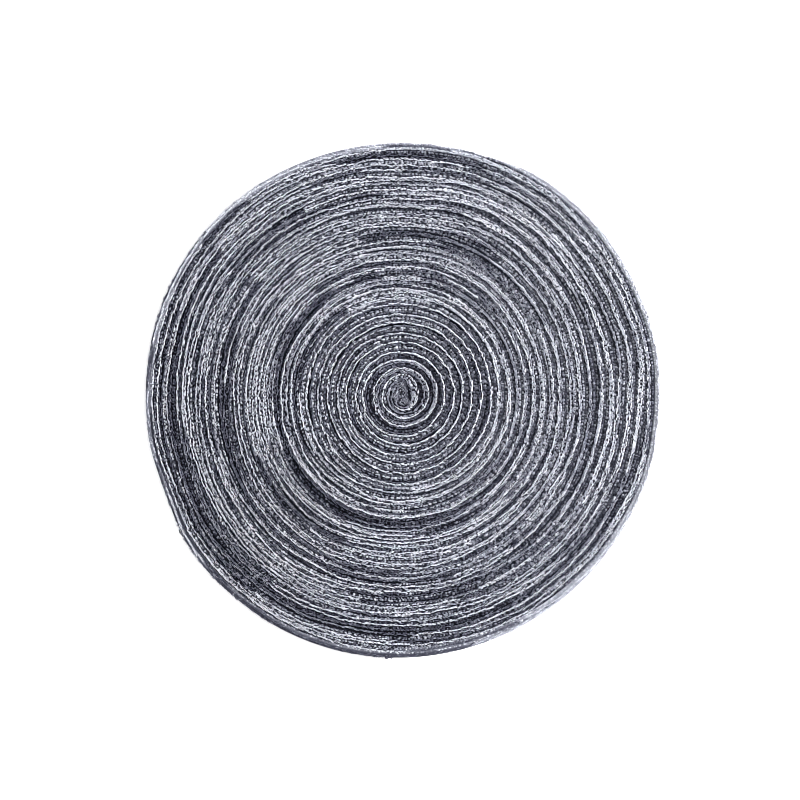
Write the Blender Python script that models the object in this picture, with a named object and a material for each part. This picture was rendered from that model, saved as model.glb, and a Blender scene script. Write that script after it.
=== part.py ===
"""Round placemat of one knitted tape, wound flat in a spiral and sewn edge to edge.

Metres, +Z up. The mat lies on z = 0 with the origin in the middle of its footprint. Seen from above the
tape winds outwards counter-clockwise, from a tucked start near the middle to an end that is tucked and
sewn down at the rim. Angles are counted counter-clockwise from +X.
"""

import math
from collections import namedtuple

import bmesh
import bpy

# Driving dimensions
TAPE_WIDTH = 0.00696  # what one turn adds to the radius
TAPE_THICKNESS = 0.0034
TURNS = 28.0
START_TURN = 0.5  # the tucked start fills the spiral's first half turn
END_ANGLE = math.radians(70.0)
STEPS_PER_TURN = 60

# The knitted face of the tape, across its width
FLAT_FACE = 0.6  # share of the width that is level, between two rounded edges
GROOVE_DEPTH = 0.0010  # seam between two turns
GROOVE_DEPTH_SWING = 0.0003  # the turns are pulled tighter, and the seams are deeper, towards +X

# The rim: the outer edge of the last turn, as height and distance inside the widest line
RIM_SHOULDER_INSET = 0.0006
RIM_WIDEST_HEIGHT = 0.0015
RIM_FOOT_INSET = 0.0008

# The first turns are drawn out into a flat loop, and rounder turns follow outside it
START_LOOP_STRETCH = 0.30
START_LOOP_REACH = 0.009
START_LOOP_ANGLE = math.radians(85.0)

# Towards its end the tape is folded under, until only a narrow edge of it shows. Each fold takes up a share
# of the tape's width, between two places that are given as turns before the end.
Fold = namedtuple("Fold", "share start stop")
END_FOLDS = (
    Fold(share=0.45, start=0.45, stop=0.20),
    Fold(share=0.45, start=0.035, stop=0.0),
)

# The mat is wound by hand, so its rings are a little uneven about the start of the spiral. Each wave is full
# at one share of the turns, and fades evenly away over a share of them on either side.
Wave = namedtuple("Wave", "count height peak full_at fades_over")
WAVES = (
    Wave(count=1, height=0.0036, peak=math.radians(-90.0), full_at=1.0, fades_over=1.0),
    Wave(count=2, height=0.0005, peak=math.radians(52.0), full_at=1.0, fades_over=1.0),
    Wave(count=3, height=0.0007, peak=math.radians(13.0), full_at=1.0, fades_over=1.0),
    Wave(count=4, height=0.0005, peak=math.radians(-32.0), full_at=1.0, fades_over=1.0),
    Wave(count=1, height=0.0023, peak=math.radians(-45.0), full_at=0.0, fades_over=0.5),
    Wave(count=1, height=0.00175, peak=math.radians(-143.0), full_at=0.5, fades_over=0.5),
)

# Some turns lie further out, or in, than evenly wound ones would: the share of the turns, and by how much
TURN_SHIFTS = (
    (0.0, 0.0032),
    (0.1, 0.0009),
    (0.2, 0.0010),
    (0.4, 0.0016),
    (0.6, -0.0016),
    (0.8, -0.0004),
    (1.0, 0.0),
)

# Places where the turns were pushed outwards, or drawn inwards, as they were sewn. The first is the bend of
# the tucked start.
Pull = namedtuple("Pull", "angle reach push angle_spread reach_spread")
PULLS = (
    Pull(math.radians(5.0), 0.006, -0.0052, math.radians(60.0), 0.0016),
    Pull(math.radians(10.0), 0.172, 0.0020, math.radians(8.0), 0.016),
    Pull(math.radians(62.0), 0.152, 0.0022, math.radians(18.0), 0.022),
    Pull(math.radians(88.0), 0.152, -0.0012, math.radians(9.0), 0.014),
    Pull(math.radians(203.0), 0.186, -0.0014, math.radians(8.0), 0.016),
    Pull(math.radians(219.0), 0.186, 0.0010, math.radians(9.0), 0.016),
    Pull(math.radians(341.0), 0.182, 0.0009, math.radians(7.0), 0.016),
)

WELD_DISTANCE = 1e-6
CREASE_ANGLE = math.radians(50.0)
YARN_COLOUR = (0.185, 0.192, 0.225, 1.0)
YARN_ROUGHNESS = 0.9

COLLECTION_NAME = "spiral_placemat"
MAT_NAME = "spiral_mat"


def clear_scene():
    """Remove every object of the file that is open."""
    for scene_object in list(bpy.data.objects):
        bpy.data.objects.remove(scene_object, do_unlink=True)


def smooth_step(share):
    """Ease from 0 to 1 as share goes from 0 to 1."""
    held = min(max(share, 0.0), 1.0)
    return held * held * (3.0 - 2.0 * held)


def angle_at(turn):
    """Angle that the tape has reached after so many turns."""
    return END_ANGLE + 2.0 * math.pi * (turn - TURNS)


def folded_share(turn):
    """Share of the tape's width that is folded under."""
    before_end = TURNS - turn
    return sum(f.share * smooth_step((f.start - before_end) / (f.start - f.stop)) for f in END_FOLDS)


def pulled(angle, reach):
    """How far the turns are pushed outwards at this angle and distance."""
    push = 0.0
    for pull in PULLS:
        aside = (angle - pull.angle + math.pi) % (2.0 * math.pi) - math.pi
        beyond = reach - pull.reach
        push += pull.push * math.exp(-((aside / pull.angle_spread) ** 4) - (beyond / pull.reach_spread) ** 2)
    return push


def shifted(share):
    """How far outwards the turns lie at this share of the turns, between the given shifts."""
    for (before, shift), (after, next_shift) in zip(TURN_SHIFTS, TURN_SHIFTS[1:]):
        if share <= after:
            return shift + (next_shift - shift) * (share - before) / (after - before)
    return TURN_SHIFTS[-1][1]


def waved(angle, share):
    """How far outwards the rings' unevenness puts the turns at this angle and share of the turns."""
    outwards = 0.0
    for wave in WAVES:
        strength = max(0.0, 1.0 - abs(share - wave.full_at) / wave.fades_over)
        outwards += strength * wave.height * math.cos(wave.count * (angle - wave.peak))
    return outwards


def seam_radius(turn):
    """Distance of the tape's outer edge from the start of the spiral, after so many turns."""
    angle, share = angle_at(turn), turn / TURNS
    even = TAPE_WIDTH * (turn - folded_share(turn))
    return even + shifted(share) + waved(angle, share) + pulled(angle, even)


def groove_depth(angle):
    """Depth of the seam between two turns at this angle."""
    return GROOVE_DEPTH + GROOVE_DEPTH_SWING * math.cos(angle)


def place_on_tape(turn, across):
    """Point of the tape's face, with across from 0 at its inner edge to 1 at its outer edge."""
    angle = angle_at(turn)
    inner = seam_radius(turn - 1.0)
    radius = inner + (seam_radius(turn) - inner) * across
    is_edge = across in (0.0, 1.0)
    height = TAPE_THICKNESS - (groove_depth(angle) if is_edge else 0.0)

    stretch = START_LOOP_STRETCH * math.exp(-((radius / START_LOOP_REACH) ** 2))
    along = radius * math.cos(angle - START_LOOP_ANGLE) * (1.0 + stretch)
    aside = radius * math.sin(angle - START_LOOP_ANGLE) * (1.0 - stretch)
    cosine, sine = math.cos(START_LOOP_ANGLE), math.sin(START_LOOP_ANGLE)
    return (along * cosine - aside * sine, along * sine + aside * cosine, height)


def add_wound_tape(mesh):
    """Wind a flat strip into the spiral and weld each turn to the one inside it."""
    shoulder = (1.0 - FLAT_FACE) / 2.0
    across_positions = (0.0, shoulder, 1.0 - shoulder, 1.0)
    first_turn = START_TURN + 1.0
    steps = round((TURNS - first_turn) * STEPS_PER_TURN)
    rows = len(across_positions) - 1
    strip = bmesh.ops.create_grid(mesh, x_segments=steps, y_segments=rows, size=0.5)
    for vert in strip["verts"]:
        turn = first_turn + round((vert.co.x + 0.5) * steps) / STEPS_PER_TURN
        across = across_positions[round((vert.co.y + 0.5) * rows)]
        vert.co = place_on_tape(turn, across)
    bmesh.ops.remove_doubles(mesh, verts=mesh.verts, dist=WELD_DISTANCE)


def open_loops(mesh):
    """Boundary edges of the sheet, split at the radius of its innermost whole turn."""
    between = 2.0 * TAPE_WIDTH * (START_TURN + 1.0)
    edges = [edge for edge in mesh.edges if edge.is_boundary]
    inner = [edge for edge in edges if all(v.co.xy.length < between for v in edge.verts)]
    outer = [edge for edge in edges if edge not in inner]
    return inner, outer


def close_start(mesh, edges):
    """Fill the middle of the spiral with the small knob of the tape's tucked start."""
    fill = bmesh.ops.edgeloop_fill(mesh, edges=edges)
    knob = bmesh.ops.poke(mesh, faces=fill["faces"])
    for vert in knob["verts"]:
        vert.co.z = TAPE_THICKNESS


def move_rim(verts, outward, height):
    """Put rim points at one height, moved along their radius."""
    for vert in verts:
        radius = vert.co.xy.length
        vert.co.xy *= (radius + outward) / radius
        vert.co.z = height


def extrude_rim(mesh, edges, outward, height):
    """Draw the open rim down to a height, and give back its new open edges."""
    drawn = bmesh.ops.extrude_edge_only(mesh, edges=edges)["geom"]
    verts = [item for item in drawn if isinstance(item, bmesh.types.BMVert)]
    move_rim(verts, outward, height)
    return [item for item in drawn if isinstance(item, bmesh.types.BMEdge) and item.is_boundary]


def close_back(mesh, edges):
    """Round the rim over and close the flat back at z = 0."""
    for vert in {vert for edge in edges for vert in edge.verts}:
        vert.co.xy *= 1.0 - RIM_SHOULDER_INSET / vert.co.xy.length
    widest = extrude_rim(mesh, edges, RIM_SHOULDER_INSET, RIM_WIDEST_HEIGHT)
    foot = extrude_rim(mesh, widest, -RIM_FOOT_INSET, 0.0)
    bmesh.ops.edgeloop_fill(mesh, edges=foot)


def centre_footprint(mesh):
    """Move the mat so that the middle of its footprint is at the origin."""
    xs = [vert.co.x for vert in mesh.verts]
    ys = [vert.co.y for vert in mesh.verts]
    middle = ((min(xs) + max(xs)) / 2.0, (min(ys) + max(ys)) / 2.0)
    bmesh.ops.translate(mesh, verts=mesh.verts, vec=(-middle[0], -middle[1], 0.0))


def knitted_yarn():
    """Matt charcoal and white yarn, seen as one mixed grey."""
    material = bpy.data.materials.new("knitted_yarn")
    material.use_nodes = True
    shader = material.node_tree.nodes["Principled BSDF"]
    shader.inputs["Base Color"].default_value = YARN_COLOUR
    shader.inputs["Roughness"].default_value = YARN_ROUGHNESS
    shader.inputs["Metallic"].default_value = 0.0
    material.diffuse_color = YARN_COLOUR
    return material


def build_mat():
    """Build the spiral mat as one closed solid."""
    mesh = bmesh.new()
    add_wound_tape(mesh)
    start_edges, rim_edges = open_loops(mesh)
    close_start(mesh, start_edges)
    close_back(mesh, rim_edges)
    bmesh.ops.recalc_face_normals(mesh, faces=mesh.faces)
    centre_footprint(mesh)

    data = bpy.data.meshes.new(MAT_NAME)
    mesh.to_mesh(data)
    mesh.free()
    data.materials.append(knitted_yarn())
    data.shade_smooth()
    data.set_sharp_from_angle(angle=CREASE_ANGLE)
    return bpy.data.objects.new(MAT_NAME, data)


def main():
    """Model the placemat in a collection of its own."""
    clear_scene()
    collection = bpy.data.collections.new(COLLECTION_NAME)
    bpy.context.scene.collection.children.link(collection)
    collection.objects.link(build_mat())


main()
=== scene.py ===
"""Looks of a round placemat: one knitted tape, wound flat in a spiral and sewn edge to edge.

Metres, +Z up, the mat lying on z = 0. Seen from above the tape winds outwards counter-clockwise. Across its
width it has two raised chains of stitches; weft yarn runs from chain to chain as short bars, and loops out
from each chain to the tape's edge. The tucked start is a small knot of crumpled stitches. Every yarn is
space-dyed in runs of charcoal, grey and bluish white.
"""

from __future__ import annotations

import logging
import math
from dataclasses import dataclass
from enum import Enum

import bmesh
import bpy
import numpy as np
from bpy.types import Material, Mesh, Node, NodeSocket, NodeTree, Object, Scene, ShaderNode
from mathutils import Matrix, Vector


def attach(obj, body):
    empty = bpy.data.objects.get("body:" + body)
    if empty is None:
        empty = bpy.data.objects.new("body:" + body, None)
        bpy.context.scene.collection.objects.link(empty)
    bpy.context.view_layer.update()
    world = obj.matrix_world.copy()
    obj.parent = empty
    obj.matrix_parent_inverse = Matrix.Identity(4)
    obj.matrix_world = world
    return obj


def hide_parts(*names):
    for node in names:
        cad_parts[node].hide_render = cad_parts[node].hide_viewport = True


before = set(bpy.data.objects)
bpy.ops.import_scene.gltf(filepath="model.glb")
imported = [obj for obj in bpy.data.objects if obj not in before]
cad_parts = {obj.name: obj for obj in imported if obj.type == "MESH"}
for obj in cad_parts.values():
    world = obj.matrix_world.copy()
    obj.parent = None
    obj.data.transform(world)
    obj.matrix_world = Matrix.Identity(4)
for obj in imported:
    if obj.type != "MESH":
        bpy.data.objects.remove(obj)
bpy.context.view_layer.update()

LOG = logging.getLogger("placemat")
Array = np.ndarray
CAD_NODE = "spiral_mat"
MM = 0.001
MAT_DIAMETER = 380 * MM
MAT_PIXELS = 514.3  # the mat's width in the picture
PICTURE_PIXELS = 800
FULL_TURN = 2.0 * math.pi
TAPE_MAP = "tape"
BAKE_MAP = "OFBake"
QUAD_CORNERS = 4
TONE_ATTRIBUTE = "tone"
# Painted shade: how much each vertex's colour is darkened where the yarn lies deep or in a seam.
SHADE_DEPTH_ATTRIBUTE = "depth"


class Yarn(Enum):
    """The yarns of the tape, named by where they show across its width."""

    INNER_EDGE = "inner_edge"
    INNER_CHAIN = "inner_chain"
    MIDDLE = "middle"
    OUTER_CHAIN = "outer_chain"
    OUTER_EDGE = "outer_edge"


ALL_YARNS = tuple(Yarn)
WEFTS = (Yarn.INNER_EDGE, Yarn.MIDDLE, Yarn.OUTER_EDGE)


class Tone(Enum):
    """The colours that the yarn is dyed, from 0 for the darkest to 1 for the palest."""

    CHARCOAL = 0.05
    SLATE = 0.30
    GREY = 0.55
    LIGHT = 0.78
    PALE = 0.96


def smooth_step(share: Array) -> Array:
    """Ease from 0 to 1 as share goes from 0 to 1."""
    held = np.clip(share, 0.0, 1.0)
    return held * held * (3.0 - 2.0 * held)


@dataclass(frozen=True)
class Wave:
    """One wave of the uneven rings, full at one share of the turns and fading away on either side."""

    count: int
    height: float
    peak_degrees: float
    full_at: float = 1.0
    fades_over: float = 1.0


@dataclass(frozen=True)
class Pull:
    """A place where the turns were pushed outwards as the mat was sewn."""

    degrees: float
    reach: float
    push: float
    degrees_spread: float
    reach_spread: float


@dataclass(frozen=True)
class Fold:
    """A share of the tape's width folded under, between two places given as turns before the end."""

    share: float
    start: float
    stop: float


@dataclass(frozen=True)
class TapePath:
    """The flat spiral that the tape follows, with every place on it given as (turn, distance, height)."""

    tape_width: float = 6.96 * MM
    turns: float = 28.0
    start_turn: float = 0.5
    end_angle: float = math.radians(70.0)
    core_radius: float = 0.2 * MM
    # The first turns are drawn out into a flat loop.
    loop_stretch: float = 0.30
    loop_reach: float = 9 * MM
    loop_angle: float = math.radians(85.0)
    # The turns are tipped most at one angle. Their rise counts from one place across the tape.
    lean_angle: float = math.radians(5.0)
    lean_rise: float = 1.1 * MM
    lean_pivot: float = 0.6
    # On a tipped turn the rows about this place get no painted shade, and those beyond are painted dark in
    # the seams.
    tipped_middle: float = 0.45
    clear_half: float = 0.15
    seam_half: float = 0.25
    groove_swing: float = 0.3
    samples_per_turn: int = 240
    rim_samples: int = 960
    waves: tuple[Wave, ...] = (
        Wave(count=1, height=3.6 * MM, peak_degrees=-90.0),
        Wave(count=2, height=0.5 * MM, peak_degrees=52.0),
        Wave(count=3, height=0.7 * MM, peak_degrees=13.0),
        Wave(count=4, height=0.5 * MM, peak_degrees=-32.0),
        Wave(count=1, height=2.3 * MM, peak_degrees=-45.0, full_at=0.0, fades_over=0.5),
        Wave(count=1, height=1.75 * MM, peak_degrees=-143.0, full_at=0.5, fades_over=0.5),
    )
    shifts: tuple[tuple[float, float], ...] = (
        (0.0, 3.2 * MM),
        (0.1, 0.9 * MM),
        (0.2, 1.0 * MM),
        (0.4, 1.6 * MM),
        (0.6, -1.6 * MM),
        (0.8, -0.4 * MM),
        (1.0, 0.0 * MM),
    )
    pulls: tuple[Pull, ...] = (
        Pull(5.0, 6 * MM, -5.2 * MM, 60.0, 1.6 * MM),
        Pull(10.0, 172 * MM, 2.0 * MM, 8.0, 16 * MM),
        Pull(62.0, 152 * MM, 2.2 * MM, 18.0, 22 * MM),
        Pull(88.0, 152 * MM, -1.2 * MM, 9.0, 14 * MM),
        Pull(203.0, 186 * MM, -1.4 * MM, 8.0, 16 * MM),
        Pull(219.0, 186 * MM, 1.0 * MM, 9.0, 16 * MM),
        Pull(341.0, 182 * MM, 0.9 * MM, 7.0, 16 * MM),
    )
    folds: tuple[Fold, ...] = (
        Fold(share=0.45, start=0.45, stop=0.20),
        Fold(share=0.45, start=0.035, stop=0.0),
    )

    def angle(self, turn: Array) -> Array:
        """Angle that the tape has reached after so many turns."""
        return self.end_angle + FULL_TURN * (turn - self.turns)

    def folded_share(self, turn: Array) -> Array:
        """Share of the tape's width that is folded under."""
        before_end = self.turns - turn
        return sum(f.share * smooth_step((f.start - before_end) / (f.start - f.stop)) for f in self.folds)

    def is_folded(self, turn: Array) -> Array:
        """Whether some of the tape's width is folded under."""
        return self.folded_share(turn) > 0.0

    def flat_radius(self, turn: Array, folded: Array | float = 0.0) -> Array:
        """Distance of the tape's outer edge from the spiral's start.

        Args:
            turn: Turns made so far.
            folded: Share of the tape's width that is folded under there.

        Returns:
            The distance for each turn, uneven as the mat is.
        """
        angle, share = self.angle(turn), turn / self.turns
        even = self.tape_width * (turn - folded)
        uneven = np.interp(share, *np.transpose(self.shifts))
        for wave in self.waves:
            strength = np.maximum(0.0, 1.0 - np.abs(share - wave.full_at) / wave.fades_over)
            from_peak = wave.count * (angle - math.radians(wave.peak_degrees))
            uneven = uneven + strength * wave.height * np.cos(from_peak)
        for pull in self.pulls:
            aside = (angle - math.radians(pull.degrees) + math.pi) % FULL_TURN - math.pi
            near = np.exp(-((aside / math.radians(pull.degrees_spread)) ** 4))
            uneven = uneven + pull.push * near * np.exp(-(((even - pull.reach) / pull.reach_spread) ** 2))
        return even + uneven

    def edges(self, turn: Array) -> tuple[Array, Array]:
        """Where the edges of the tape lie, once it is folded.

        Args:
            turn: Turns made so far.

        Returns:
            The distances of its inner and its outer edge from the spiral's start.
        """
        outer = np.maximum(self.flat_radius(turn, self.folded_share(turn)), 2.0 * self.core_radius)
        inner = np.maximum(self.flat_radius(turn - 1.0), self.core_radius)
        return np.where(turn < self.start_turn + 1.0, self.core_radius, inner), outer

    def row_distance(self, turn: Array, across: Array) -> Array:
        """Distance of a row of stitches from the spiral's start.

        Args:
            turn: Turns made so far.
            across: Place across the tape before it is folded, from 0 at its inner edge to 1 at its outer.

        Returns:
            The distance for each turn.
        """
        inner = np.maximum(self.flat_radius(turn - 1.0), self.core_radius)
        return inner + across * np.maximum(self.flat_radius(turn) - inner, self.core_radius)

    def row_shows(self, turn: Array, across: Array, from_edge: float) -> Array:
        """Whether a row is clear of the fold, and clear of the spiral's very start.

        Args:
            turn: Turns made so far.
            across: Place across the tape before it is folded, from 0 to 1.
            from_edge: How far from the folded edge a row has to lie.

        Returns:
            True or false for each turn.
        """
        outer = self.edges(turn)[1]
        distance = self.row_distance(turn, across)
        clear = ~self.is_folded(turn) | (distance + from_edge < outer)
        return clear & (distance > 2.0 * from_edge)

    def lean(self, turn: Array) -> Array:
        """How far the turns are tipped, from 0 at the left of the mat to 1 at its right."""
        return ((1.0 + np.cos(self.angle(turn) - self.lean_angle)) / 2.0) ** 2

    def lift(self, turn: Array, across: Array) -> Array:
        """How much the tipped tape's face is raised here."""
        return self.lean_rise * (across - self.lean_pivot) * self.lean(turn)

    def painted_shade(self, turn: Array, across: Array) -> Array:
        """How much painted shade a row gets in the seams of a tipped turn.

        Args:
            turn: Turns made so far.
            across: Place across the tape, from 0 to 1.

        Returns:
            A share from 0, not at all, to 1 for each turn.
        """
        from_middle = np.abs(across - self.tipped_middle)
        seam_shade = self.lean(turn) * smooth_step((from_middle - self.clear_half) / self.seam_half)
        return np.where(self.is_rim(turn, across), 0.0, seam_shade)

    def is_rim(self, turn: Array, across: Array) -> Array:
        """Whether this is the outer half of the last turn, or its folded end, with no turn beside it."""
        return (turn > self.turns - 1.0) & ((across > self.tipped_middle) | self.is_folded(turn))

    def tightness(self, turn: Array) -> Array:
        """How much deeper than usual the seams are: the turns are pulled tighter towards +X."""
        return 1.0 + self.groove_swing * np.cos(self.angle(turn))

    def middle(self) -> tuple[float, float]:
        """Find the middle of the mat's footprint.

        Returns:
            Its x and y, counted from the spiral's start.
        """
        turn = np.linspace(self.turns - 1.0, self.turns, self.rim_samples)
        angle, reach = self.angle(turn), self.edges(turn)[1]
        across, along = reach * np.cos(angle), reach * np.sin(angle)
        return float(across.min() + across.max()) / 2.0, float(along.min() + along.max()) / 2.0

    def lengths(self) -> tuple[Array, Array]:
        """Turns at even steps, and the length of tape wound up to each.

        Returns:
            The turns, and the length along the tape's middle in metres.
        """
        count = round((self.turns - self.start_turn) * self.samples_per_turn) + 1
        turn = np.linspace(self.start_turn, self.turns, count)
        angle, reach = self.angle(turn), self.row_distance(turn, 0.5)
        steps = np.hypot(np.diff(reach * np.cos(angle)), np.diff(reach * np.sin(angle)))
        return turn, np.concatenate([[0.0], np.cumsum(steps)])

    def place(self, turn: Array, distance: Array, height: Array) -> Array:
        """Points in the mat's frame.

        Args:
            turn: Turns made so far, which give the angle.
            distance: Distance from the spiral's start, before the first turns are drawn out into a loop.
            height: Height above the table.

        Returns:
            An array of x, y, z in its last axis.
        """
        angle = self.angle(turn) - self.loop_angle
        stretch = self.loop_stretch * np.exp(-((distance / self.loop_reach) ** 2))
        along = distance * np.cos(angle) * (1.0 + stretch)
        aside = distance * np.sin(angle) * (1.0 - stretch)
        cosine, sine = math.cos(self.loop_angle), math.sin(self.loop_angle)
        middle = self.middle()
        x = along * cosine - aside * sine - middle[0]
        y = along * sine + aside * cosine - middle[1]
        return np.stack([x, y, height + np.zeros_like(x)], axis=-1)


@dataclass(frozen=True)
class Wander:
    """A random drift along the tape, with a new value at even spacing and straight changes between."""

    spacing: float
    spread: float

    def along(self, length: Array, seed: int) -> Array:
        """The drift at these lengths.

        Args:
            length: Distances along the tape, in metres.
            seed: Seed of the random numbers.

        Returns:
            A drift for each, as large as the spread says.
        """
        draw = np.random.default_rng(seed)
        knots = np.arange(0.0, float(length.max()) + 2.0 * self.spacing, self.spacing)
        return np.interp(length, knots, draw.normal(0.0, self.spread, len(knots)))


TAPE_DRIFT = Wander(40 * MM, 0.45 * MM)
TAPE_DRIFT_SEED = 3


@dataclass(frozen=True)
class SpaceDye:
    """Runs of colour along one yarn."""

    seed: int
    shares: dict[Tone, float]
    run_length: float
    shortest_run: float = 20 * MM
    blend_length: float = 4 * MM
    unevenness: float = 0.05
    mottle: Wander = Wander(9 * MM, 0.10)

    def along(self, length: Array) -> Array:
        """Tone of the yarn at these lengths.

        Args:
            length: Distances along the yarn, in metres.

        Returns:
            A tone from 0, charcoal, to 1, pale, for each.
        """
        draw = np.random.default_rng(self.seed)
        tones, shares = tuple(self.shares), tuple(self.shares.values())
        ends, levels, reached, last = [], [], 0.0, -1
        while reached < float(length.max()) + self.run_length:
            pick = int(draw.choice(len(tones), p=shares))
            pick = (pick + 1) % len(tones) if pick == last else pick
            reached += self.shortest_run + float(draw.exponential(self.run_length))
            ends.append(reached)
            levels.append(tones[pick].value + float(draw.normal(0.0, self.unevenness)))
            last = pick
        run = np.searchsorted(ends, length)
        levels, ends = np.array(levels), np.array(ends)
        following = levels[np.minimum(run + 1, len(levels) - 1)]
        blend = smooth_step(1.0 - (ends[run] - length) / self.blend_length)
        return levels[run] * (1.0 - blend) + following * blend + self.mottle.along(length, self.seed + 1)


FIRST_TURNS = 4.2  # the turns about the start, laid and dyed unlike the early ones that follow them


@dataclass(frozen=True)
class Row:
    """Where a row of stitches lies across the tape, from 0 at its inner edge to 1 at its outer edge.

    It has one place on level turns and one on tipped turns, and others in the early and the first turns.
    """

    level: float
    tipped: float
    early: float
    first: float
    first_turns: float = FIRST_TURNS
    early_turns: float = 10.5
    half_change: float = 0.5

    def across(self, path: TapePath, turn: Array) -> Array:
        """Its place at these turns.

        Args:
            path: The spiral that the tape follows.
            turn: Turns made so far.

        Returns:
            A place from 0 to 1 for each.
        """
        # Each change takes one turn, half of it before the place that is named and half after.
        changing = turn + self.half_change
        early = self.first + (self.early - self.first) * smooth_step(changing - self.first_turns)
        later = self.level + (self.tipped - self.level) * path.lean(turn)
        return early + (later - early) * smooth_step(changing - self.early_turns)


ROWS = {
    Yarn.INNER_EDGE: Row(level=0.05, tipped=0.08, early=0.12, first=0.07),
    Yarn.INNER_CHAIN: Row(level=0.24, tipped=0.33, early=0.28, first=0.28),
    Yarn.MIDDLE: Row(level=0.47, tipped=0.44, early=0.72, first=0.49),
    Yarn.OUTER_CHAIN: Row(level=0.71, tipped=0.56, early=0.51, first=0.73),
    Yarn.OUTER_EDGE: Row(level=0.94, tipped=0.79, early=0.95, first=0.94),
}


@dataclass(frozen=True)
class DyeRun:
    """Yarns in one colour between two places given as turns: mostly dyed, once painted light."""

    from_turn: float
    to_turn: float
    tone: Tone
    yarns: tuple[Yarn, ...]


DYE_RUNS_AND_LIT_RIM = (
    DyeRun(10.00, 10.95, Tone.SLATE, (Yarn.OUTER_EDGE,)),
    DyeRun(11.00, 11.15, Tone.LIGHT, ALL_YARNS),
    DyeRun(12.20, 12.45, Tone.SLATE, (Yarn.MIDDLE,)),
    DyeRun(12.50, 12.77, Tone.CHARCOAL, (Yarn.OUTER_CHAIN,)),
    DyeRun(13.08, 13.83, Tone.CHARCOAL, (Yarn.OUTER_CHAIN, Yarn.OUTER_EDGE)),
    DyeRun(13.17, 13.55, Tone.CHARCOAL, (Yarn.MIDDLE,)),
    DyeRun(13.17, 13.75, Tone.PALE, (Yarn.INNER_CHAIN,)),
    DyeRun(14.00, 14.12, Tone.CHARCOAL, (Yarn.INNER_CHAIN,)),
    DyeRun(14.10, 14.90, Tone.CHARCOAL, (Yarn.INNER_EDGE,)),
    DyeRun(14.50, 14.66, Tone.SLATE, (Yarn.INNER_CHAIN,)),
    DyeRun(15.20, 15.42, Tone.LIGHT, (Yarn.MIDDLE,)),
    DyeRun(16.38, 16.50, Tone.CHARCOAL, (Yarn.OUTER_CHAIN,)),
    DyeRun(17.20, 17.46, Tone.CHARCOAL, (Yarn.OUTER_CHAIN,)),
    DyeRun(18.00, 18.10, Tone.CHARCOAL, (Yarn.MIDDLE, Yarn.INNER_CHAIN)),
    DyeRun(18.20, 18.90, Tone.LIGHT, (Yarn.INNER_CHAIN,)),
    DyeRun(19.25, 19.55, Tone.CHARCOAL, (Yarn.INNER_CHAIN,)),
    DyeRun(20.20, 20.60, Tone.CHARCOAL, (Yarn.INNER_CHAIN, Yarn.INNER_EDGE)),
    DyeRun(20.38, 20.95, Tone.CHARCOAL, (Yarn.OUTER_EDGE,)),
    DyeRun(21.20, 21.36, Tone.CHARCOAL, (Yarn.INNER_CHAIN,)),
    DyeRun(23.25, 23.42, Tone.CHARCOAL, (Yarn.MIDDLE,)),
    DyeRun(24.25, 24.64, Tone.CHARCOAL, (Yarn.MIDDLE, Yarn.OUTER_EDGE)),
    DyeRun(24.33, 24.46, Tone.SLATE, ALL_YARNS),
    DyeRun(25.20, 25.75, Tone.CHARCOAL, (Yarn.INNER_EDGE, Yarn.INNER_CHAIN, Yarn.MIDDLE)),
    DyeRun(25.33, 25.54, Tone.SLATE, (Yarn.OUTER_CHAIN, Yarn.OUTER_EDGE)),
    DyeRun(26.00, 26.10, Tone.CHARCOAL, (Yarn.MIDDLE, Yarn.OUTER_CHAIN)),
    DyeRun(26.25, 26.45, Tone.CHARCOAL, (Yarn.INNER_CHAIN, Yarn.MIDDLE)),
    DyeRun(27.33, 27.44, Tone.CHARCOAL, (Yarn.MIDDLE,)),
    DyeRun(27.46, 27.60, Tone.CHARCOAL, (Yarn.OUTER_CHAIN, Yarn.OUTER_EDGE)),
    # This run is painted light: the rim is painted pale on the side that the light comes from.
    DyeRun(27.70, 28.00, Tone.PALE, ALL_YARNS),
)


EARLY_TONES = {
    Yarn.INNER_EDGE: Tone.SLATE,
    Yarn.INNER_CHAIN: Tone.CHARCOAL,
    Yarn.MIDDLE: Tone.SLATE,
    Yarn.OUTER_CHAIN: Tone.PALE,
    Yarn.OUTER_EDGE: Tone.PALE,
}
FIRST_TONES = {
    Yarn.INNER_EDGE: Tone.SLATE,
    Yarn.INNER_CHAIN: Tone.SLATE,
    Yarn.MIDDLE: Tone.GREY,
    Yarn.OUTER_CHAIN: Tone.PALE,
    Yarn.OUTER_EDGE: Tone.SLATE,
}
CHAIN_SHARES = {Tone.CHARCOAL: 0.03, Tone.GREY: 0.14, Tone.LIGHT: 0.33, Tone.PALE: 0.50}
CHAIN_RUN = 70 * MM
WEFT_SHARES = {Tone.CHARCOAL: 0.10, Tone.SLATE: 0.42, Tone.GREY: 0.31, Tone.LIGHT: 0.17}
WEFT_RUN = 75 * MM
DYES = {
    Yarn.INNER_EDGE: SpaceDye(11, WEFT_SHARES, WEFT_RUN),
    Yarn.INNER_CHAIN: SpaceDye(22, CHAIN_SHARES, CHAIN_RUN),
    Yarn.MIDDLE: SpaceDye(33, WEFT_SHARES, WEFT_RUN),
    Yarn.OUTER_CHAIN: SpaceDye(44, CHAIN_SHARES, CHAIN_RUN),
    Yarn.OUTER_EDGE: SpaceDye(55, WEFT_SHARES, WEFT_RUN),
}


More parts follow.
